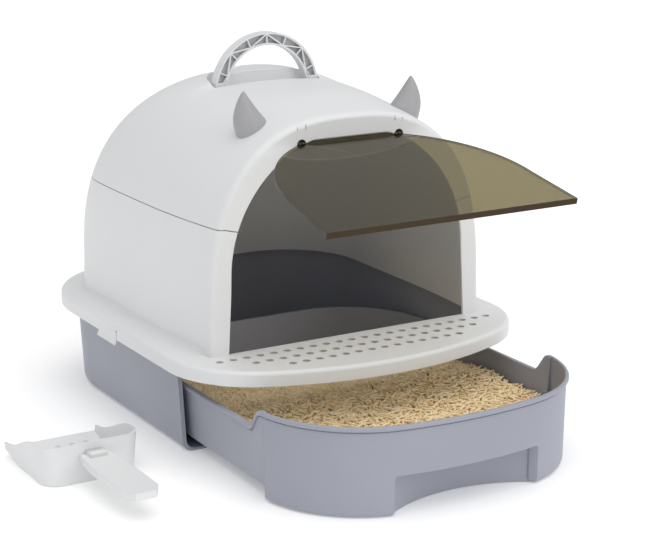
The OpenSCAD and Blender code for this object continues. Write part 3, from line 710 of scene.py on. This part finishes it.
edges = [e for e in bm.edges if all(on_arch(v) for v in e.verts)
         and len(e.link_faces) == 2 and e.calc_face_angle(0) > 1]
bmesh.ops.bevel(bm, geom=edges, offset=1.4, offset_type="OFFSET", segments=3, profile=0.5,
                affect="EDGES", clamp_overlap=True, material=-1)
bm.to_mesh(shell.data)
bm.free()

hole = loft([at_height(arc(0, 0, r, 0, 345, 23), z) for r, z in
             ((8, deck_z - 6), (drain_r, deck_z - 0.4), (drain_r, deck_z + 3))])
bm = bmesh.new()
for row in range(3):
    count = holes_across - 4 * row
    for i in range(count):
        at = len(bm.verts)
        bm.from_mesh(hole.data)
        bm.verts.ensure_lookup_table()
        bmesh.ops.translate(bm, verts=bm.verts[at:], vec=(
            (i - (count - 1) / 2) * drain_pitch, face_y - 16.3 - row * drain_row, 0))
bpy.data.objects.remove(hole)
shell = minus(shell, solid(bm))


def below_seam(top, drop):
    """All that lies under the joint between the mouldings, which dips on the front."""
    dip = top - seam_dip
    flat = [(300, -10), (300, top), (152, top), (132, dip), (-132, dip), (-152, top),
            (-300, top), (-300, -10)]
    low = across([(x, z - drop) for x, z in flat], -400, face_y + 4 * wall)
    rest = block((-300, face_y + 4 * wall, -10), (300, 400, top - drop))
    return plus(low, rest)


def side_block(s, near, far, y, z):
    """A block on one side, from near to far out from the middle."""
    x0, x1 = sorted((s * near, s * far))
    return block((x0, y[0], z[0]), (x1, y[1], z[1]))


upper = shell.copy()
upper.data = shell.data.copy()
bpy.context.scene.collection.objects.link(upper)
lower = common(shell, below_seam(seam_z, seam_gap))
latch_y, latch_top = (-59.4, -9.7), 109.6
minus(lower, *[side_block(s, 198, 209, latch_y, (skirt_z - 1, latch_top)) for s in (-1, 1)])


def foot_line(d):
    """The wall's foot on the flange from front left to front right, moved out by d."""
    sides = [(face_y + 0.3) + (rear_cy - face_y - 0.3) * i / 30 for i in range(31)]
    right = []
    for y in sides:
        t = min(1, (y - face_y) / 45)
        right.append((hood_width(y, 0) - 5 * max(0, 1 - (y - face_y) / 8) ** 2 + 2
                      + d * (0.12 + 0.88 * t * t * (3 - 2 * t)), y))
    right += arc(hood_hw - rear_r, rear_cy, rear_r + 1 + d, 6, 90, 16)
    return [(-x, y) for x, y in right] + [(x, y) for x, y in right[::-1]]


fillet_r = 8.0
strips = [at_height(foot_line(fillet_r), deck_z - 1)]
for i in range(8):
    a = math.radians(90 * i / 7)
    strips.append(at_height(foot_line(fillet_r * (1 - math.sin(a)) - 0.15),
                            deck_z - 0.05 + fillet_r * (1 - math.cos(a))))
strips += [at_height(foot_line(-1.5), deck_z + fillet_r),
           at_height(foot_line(-1.5), deck_z - 1)]
gather(lower, loft(strips, closed=False, wrap=True))
white = plastic("white_polypropylene", linear(228, 229, 230), 0.02, 0.42)
piece(lower, "hood_lower_moulding", white, "housing", ["hood_lower"])

# ---- Upper hood ---------------------------------------------------------
# The roof moulding in the same white plastic, with a round well that takes the folded
# handle, a raised boss inside it and the sockets of the flap's pegs.
upper = minus(upper, below_seam(seam_z, 0))
hoop_r, hoop_in, hoop_d = 66.5, 52.0, 12.0
well_y = pivot_y - 6.5
well_out, well_in = hoop_r + 2, hoop_in - 5
well_floor = pivot_z - hoop_d / 2 - 1
boss_y = pivot_y + hoop_d / 2 + 1
slot_y = boss_y - 15
notch_x, notch_r, socket_x, bore_r = 60.0, 5.6, 69.0, 3.6
slit_x, slit_w, slit_z, slit_top = 59.8, 1.2, 344.6, 353.0


def drum(r, z0, z1, n=128):
    """A standing cylinder about the well's centre."""
    return loft([at_height(arc(0, well_y, r, 0, 360 - 360 / n, n - 1), z) for z in (z0, z1)])


def hinge_drum(x0, x1, r, a1, n):
    """A cylinder about the flap's hinge line."""
    return loft([[(x, hinge_y + y, hinge_z + z) for y, z in arc(0, 0, r, 0, a1, n)]
                 for x in (x0, x1)])


# The walls under the well, and the boss: a shallow dome with a rounded front edge
moulding = common(drum(well_out + wall, well_floor - wall, 450), hood_form(0.02, deck_z),
                  block((-300, slot_y - wall, 200), (300, 400, 500)))
dome_r = 320.0
dome = bmesh.new()
bmesh.ops.create_uvsphere(dome, u_segments=160, v_segments=240, radius=dome_r)
bmesh.ops.translate(dome, vec=(0, crown_y + 8, crown_z + 2.8 - dome_r), verts=dome.verts)
bmesh.ops.bisect_plane(dome, geom=dome.verts[:] + dome.edges[:] + dome.faces[:],
                       plane_co=(0, 0, 330), plane_no=(0, 0, -1), clear_outer=True)
bmesh.ops.holes_fill(dome, edges=dome.edges, sides=0)
bmesh.ops.recalc_face_normals(dome, faces=dome.faces)
nose = [(100, crown_z + 20), (100, 300), (boss_y, 300)] + arc(
    boss_y + 8, crown_z - 6.5, 8, 180, 98, 10)
boss = common(drum(well_in, well_floor - wall, 450), solid(dome),
              loft([[(x, y, z) for y, z in nose] for x in (-100, 100)]))
sockets = [side_block(s, socket_x, socket_x + 9, (face_y + 1, hinge_y + 6.5),
                      (hinge_z - 7, hinge_z + 7)) for s in (-1, 1)]
upper = plus(upper, moulding, boss, *sockets)

# The well round the boss, the slot of the upright hoop, and the boss's hollow
well = minus(drum(well_out, well_floor, 450), drum(well_in, well_floor - 1, 451),
             block((-300, -500, 300), (300, slot_y, 500)))
upper = minus(upper, well,
              block((-well_in - 4, slot_y, pivot_z + 1.5), (well_in + 4, boss_y, 420)),
              common(drum(well_in - wall, well_floor - wall - 1, crown_z - wall),
                     block((-100, boss_y + wall, 300), (100, 100, 400))))

# Room for the pegs' heads and the flap's knuckles, bores, and a snap slit over each peg
for s in (-1, 1):
    notch = arc(s * notch_x, hinge_z, notch_r, 0, 180, 16) + [
        (s * notch_x - notch_r, hinge_z - 9), (s * notch_x + notch_r, hinge_z - 9)]
    upper = minus(upper, across(notch, face_y - 1, face_y + 4),
                  side_block(s, 46, 70, (face_y + wall, hinge_y + 7.5),
                             (hinge_z - 8, hinge_z + 6)),
                  hinge_drum(s * socket_x, s * (socket_x + 7), bore_r, 345, 23))
    for x0, x1, z0, z1 in ((-5.5, slit_w - 5.5, slit_z, slit_top),
                           (5.5 - slit_w, 5.5, slit_z, slit_top),
                           (-5.5, 5.5, slit_top - 1, slit_top - 1 + slit_w)):
        upper = minus(upper, block((s * slit_x + x0, face_y - 2, z0),
                                   (s * slit_x + x1, face_y + 1.6, z1)))
piece(upper, "hood_upper_moulding", white, "housing", ["hood_upper"])

# ---- Ears ---------------------------------------------------------------
# Two cat ears in grey plastic, each pressed into the roof with two stems.
ear_x, ear_y = 95.0, face_y + 45
sections = [[-19, -8, 14, -20, 14], [-17.5, 6, 16, -10, 15], [-12.5, 11, 20.5, 2, 14.5],
            [-7, 17, 20.5, 13, 12], [-1, 25, 17.5, 23.5, 9], [4.5, 32.5, 13.8, 32, 5],
            [8.3, 38.6, 9.8, 38.5, 1]]
ear_foot = spring_z + (hood_top(ear_y, 0) - spring_z) * (
    1 - (ear_x / hood_width(ear_y, 0)) ** round_x) ** (1 / round_z) - saddle(ear_x, ear_y)
grey = plastic("grey_polypropylene", linear(168, 168, 170), 0.04, 0.45)
for s, side in ((-1, "left"), (1, "right")):
    rings = []
    for x0, z0, x1, z1, deep in sections:
        cx, cz, hx, hz = (x0 + x1) / 2, (z0 + z1) / 2, (x1 - x0) / 2, (z1 - z0) / 2
        rings.append([(s * (ear_x + cx + hx * math.cos(a)), ear_y + deep * math.sin(a),
                       ear_foot + cz + hz * math.cos(a))
                      for a in (math.radians(15 * i) for i in range(24))])
    ear = loft(rings)
    smooth = ear.modifiers.new("smooth", "SUBSURF")
    smooth.levels = smooth.render_levels = 2
    piece(ear, "ear_" + side + "_shell", grey, "housing",
          ["ear_" + side], angle=180)

# ---- Handle -------------------------------------------------------------
# The folding hoop, moulded in light grey plastic with a truss sunk into both faces. The
# floors of its pockets are painted a darker grey than its rims and ribs, as painted shade.


def rounded(node, name, material, body):
    """The node's own solid with its loose triangles merged and its edges smoothed."""
    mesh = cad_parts[node].data.copy()
    bm = bmesh.new()
    bm.from_mesh(mesh)
    bmesh.ops.scale(bm, vec=(1000, 1000, 1000), verts=bm.verts)
    bmesh.ops.remove_doubles(bm, verts=bm.verts, dist=0.002)
    bmesh.ops.dissolve_limit(bm, angle_limit=math.radians(1), verts=bm.verts, edges=bm.edges,
                             delimit={"NORMAL"})
    return piece(solid(bm), name, material, body, [node])


# Painted shade: the pocket floors, masked by their depth and by the band between the rims, get
# a darker grey that stands in for the shade in the pockets.
rim_grey, pocket_painted_shade = linear(226, 227, 228), linear(192, 193, 195)
light_grey = plastic("handle_grey_plastic", rim_grey, 0.03, 0.38)
tree = light_grey.node_tree
surface = tree.nodes["Group"]
spot = tree.nodes.new("ShaderNodeTexCoord")
middle = tree.nodes.new("ShaderNodeVectorMath")
middle.operation = "SUBTRACT"
middle.inputs[1].default_value = (0, pivot_y * MM, (pivot_z - 6.5) * MM)
tree.links.new(spot.outputs["Object"], middle.inputs[0])
axes = tree.nodes.new("ShaderNodeSeparateXYZ")
tree.links.new(middle.outputs["Vector"], axes.inputs["Vector"])
flat = tree.nodes.new("ShaderNodeCombineXYZ")
tree.links.new(axes.outputs["X"], flat.inputs["X"])
tree.links.new(axes.outputs["Z"], flat.inputs["Z"])
reach = tree.nodes.new("ShaderNodeVectorMath")
reach.operation = "LENGTH"
tree.links.new(flat.outputs["Vector"], reach.inputs[0])
between_rims = tree.nodes.new("ShaderNodeMath")
between_rims.operation = "COMPARE"
between_rims.inputs[1].default_value = (hoop_r + hoop_in) / 2 * MM
between_rims.inputs[2].default_value = ((hoop_r - hoop_in) / 2 - 1.0) * MM
tree.links.new(reach.outputs["Value"], between_rims.inputs[0])
depth = tree.nodes.new("ShaderNodeMath")
depth.operation = "ABSOLUTE"
tree.links.new(axes.outputs["Y"], depth.inputs[0])
sunk = tree.nodes.new("ShaderNodeMapRange")
sunk.inputs["From Min"].default_value = (hoop_d / 2 - 0.3) * MM
sunk.inputs["From Max"].default_value = (hoop_d / 2 - 2.5) * MM
tree.links.new(depth.outputs["Value"], sunk.inputs["Value"])
shade = tree.nodes.new("ShaderNodeMath")
shade.operation = "MULTIPLY"
tree.links.new(between_rims.outputs["Value"], shade.inputs[0])
tree.links.new(sunk.outputs["Result"], shade.inputs[1])
pocket_shade_mix = tree.nodes.new("ShaderNodeMixRGB")
pocket_shade_mix.inputs[1].default_value = rim_grey
pocket_shade_mix.inputs[2].default_value = pocket_painted_shade
tree.links.new(shade.outputs["Value"], pocket_shade_mix.inputs["Fac"])
tree.links.new(pocket_shade_mix.outputs["Color"], surface.inputs["Colour"])
rounded("carry_handle", "handle_hoop", light_grey, "handle")

# ---- Handle pins --------------------------------------------------------
# Two short pins of the same grey plastic. The hoop's feet turn on them, and each sits in
# the walls on both sides of the well.
for side in ("left", "right"):
    rounded("handle_pin_" + side, "hoop_pin_" + side, light_grey, "housing")

# ---- Flap ---------------------------------------------------------------
# Clear smoked plastic, 2.4 mm thick, with a deep rim along its free edge.
# Two knuckles under the top edge hold the pegs. It is lifted by 78 degrees at rest.
flap_t, flap_rim, flap_gap = 2.4, 5.0, 1.2
flap_head = hinge_z + 2.7
flap_foot = deck_z + 7.2
knuckle_r, knuckle_bore = 4.5, 2.5
lifted = math.radians(-78)


def flap_shape(d):
    """The doorway's shape less the gap round the flap, cut level at its top."""
    reach = door_r - flap_gap - d
    half = math.sqrt(reach ** 2 - (flap_head - door_cz) ** 2)
    kept = [p for p in doorway(flap_gap + d, flap_foot + d) if p[1] < flap_head - 0.5]
    right = [p for p in kept if p[0] > 0]
    left = [p for p in kept if p[0] < 0]
    return right + [(half, flap_head), (-half, flap_head)] + left


rim = minus(across(flap_shape(0), hinge_y + 1.0, hinge_y + flap_rim),
            across(flap_shape(2.4), hinge_y, hinge_y + flap_rim + 1),
            block((-300, hinge_y + 2, flap_foot + 2.6), (300, 0, 400)),
            block((-300, -300, hinge_z - 12), (300, 0, 400)))
flap = plus(across(flap_shape(0), hinge_y - flap_t / 2, hinge_y + flap_t / 2), rim)
for s in (-1, 1):
    flap = plus(flap, hinge_drum(s * (peg_x - 9), s * (peg_x - 5), knuckle_r, 348, 29))
    flap = minus(flap, hinge_drum(s * (peg_x - 10), s * (peg_x - 4), knuckle_bore, 345, 23))
flap.data.transform(Matrix.Translation((0, hinge_y, hinge_z))
                    @ Matrix.Rotation(lifted, 4, "X")
                    @ Matrix.Translation((0, -hinge_y, -hinge_z)))
smoked = bpy.data.materials.new("smoked_acrylic")
smoked.use_nodes = True
tree = smoked.node_tree
shader = tree.nodes["Principled BSDF"]
shader.inputs["Transmission Weight"].default_value = 1
shader.inputs["IOR"].default_value = 1.45
spot = tree.nodes.new("ShaderNodeTexCoord")
cloud = tree.nodes.new("ShaderNodeTexNoise")
cloud.inputs["Scale"].default_value = 14
tree.links.new(spot.outputs["Object"], cloud.inputs["Vector"])
body = tree.nodes.new("ShaderNodeValToRGB")
body.color_ramp.elements[0].color = (0.228, 0.187, 0.08, 1)
body.color_ramp.elements[1].color = (0.244, 0.202, 0.09, 1)
tree.links.new(cloud.outputs["Fac"], body.inputs["Fac"])
tree.links.new(body.outputs["Color"], shader.inputs["Base Color"])
haze = tree.nodes.new("ShaderNodeMapRange")
haze.inputs["To Min"].default_value = 0.01
haze.inputs["To Max"].default_value = 0.03
tree.links.new(cloud.outputs["Fac"], haze.inputs["Value"])
tree.links.new(haze.outputs["Result"], shader.inputs["Roughness"])
flap.visible_shadow = False
piece(flap, "smoked_flap", smoked, "flap", ["door_flap"])

# The cut edges look into the plate's full width, so they are dark
cut_edge = plastic("smoked_edge", linear(62, 48, 25), 0.15, 0.3, 900, 0.02, 0.0004)
cut_edge.node_tree.nodes["Principled BSDF"].inputs["Specular IOR Level"].default_value = 0.2
flap.data.materials.append(cut_edge)
across_plate = Matrix.Rotation(lifted, 3, "X") @ Vector((0, 1, 0))
flap.data.polygons.foreach_set("material_index", [
    int(abs(face.normal.dot(across_plate)) < 0.5) for face in flap.data.polygons])

# ---- Pegs ---------------------------------------------------------------
# Two black pegs: a thin stem in the flap's knuckle, a head in the notch of the doorway
# and a thick end that turns in the hood's socket.
black = plastic("black_plastic", linear(26, 25, 24), 0.2, 0.35)
peg_profile = ((54.7, 1.9), (55, 2.2), (59.4, 2.2), (59.4, 3.9), (59.8, 4.3), (64.6, 4.3),
               (65, 3.9), (65, 3.3), (74.6, 3.3), (75, 2.9))
for s, side in ((-1, "left"), (1, "right")):
    peg = loft([[(s * x, hinge_y + r * math.cos(a), hinge_z + r * math.sin(a))
                 for a in (math.radians(15 * i) for i in range(24))] for x, r in peg_profile])
    piece(peg, "flap_peg_" + side, black, "flap", ["door_peg_" + side])

# ---- Latches ------------------------------------------------------------
# Two white snap latches in the skirt's notches. Each is one moulding of a barrel, a cover
# plate and a hook under the base's lip.
for side in ("left", "right"):
    rounded("latch_" + side, "side_latch_" + side, white, side + "_latch")

# ---- Latch pins ---------------------------------------------------------
# Drawn steel wire, one length through each latch's barrel and into the skirt beside it.
steel = bpy.data.materials.new("drawn_steel")
steel.use_nodes = True
tree = steel.node_tree
shader = tree.nodes["Principled BSDF"]
shader.inputs["Metallic"].default_value = 1
spot = tree.nodes.new("ShaderNodeTexCoord")
turn = tree.nodes.new("ShaderNodeMapping")
turn.inputs["Scale"].default_value = (60, 900, 900)
streak = tree.nodes.new("ShaderNodeTexNoise")
tree.links.new(spot.outputs["Object"], turn.inputs["Vector"])
tree.links.new(turn.outputs["Vector"], streak.inputs["Vector"])
shine = tree.nodes.new("ShaderNodeMapRange")
shine.inputs["To Min"].default_value = 0.2
shine.inputs["To Max"].default_value = 0.4
tree.links.new(streak.outputs["Fac"], shine.inputs["Value"])
tree.links.new(shine.outputs["Result"], shader.inputs["Roughness"])
hue = tree.nodes.new("ShaderNodeValToRGB")
hue.color_ramp.elements[0].color = (0.5, 0.5, 0.5, 1)
hue.color_ramp.elements[1].color = (0.65, 0.65, 0.64, 1)
tree.links.new(streak.outputs["Fac"], hue.inputs["Fac"])
tree.links.new(hue.outputs["Color"], shader.inputs["Base Color"])
for side in ("left", "right"):
    rounded("latch_pin_" + side, "side_latch_pin_" + side, steel, "housing")

# ---- Scoop --------------------------------------------------------------
# A white moulded scoop with a slotted bowl and a grip that is hollow underneath. It lies
# loose on the floor beside the box.
rounded("litter_scoop", "scoop", white, "scoop")
